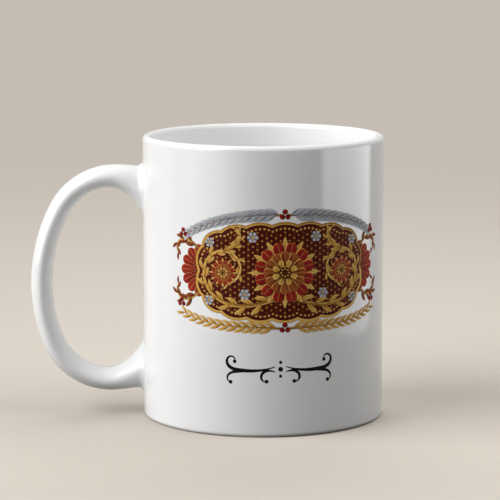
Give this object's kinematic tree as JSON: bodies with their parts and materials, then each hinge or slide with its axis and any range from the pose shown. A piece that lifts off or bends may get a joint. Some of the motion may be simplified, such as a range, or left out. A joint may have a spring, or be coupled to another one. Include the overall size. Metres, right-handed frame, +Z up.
{
  "type": "ceramic mug",
  "caption": "Straight-sided glazed ceramic drinking mug with a D-shaped loop handle, rounded lip and recessed foot.",
  "frame": {"origin": "centre of the foot on the body's axis, in the plane of the table", "axes": "+Z up out of the mouth, -X out along the handle, so +X is the length; +Y points away from the picture's camera"},
  "size_m": [0.1206, 0.082, 0.096],
  "materials": {
    "body_glaze": "gloss white glaze over the clay, with a printed ornament fired into it and a bare foot ring",
    "handle_glaze": "gloss white glaze",
    "joint_glaze": "gloss white glaze pooled over the slip"
  },
  "bodies": {
    "root": {"cup_body": "body_glaze", "handle": "handle_glaze", "upper_slip_joint": "joint_glaze", "lower_slip_joint": "joint_glaze"}
  },
  "joints": []
}
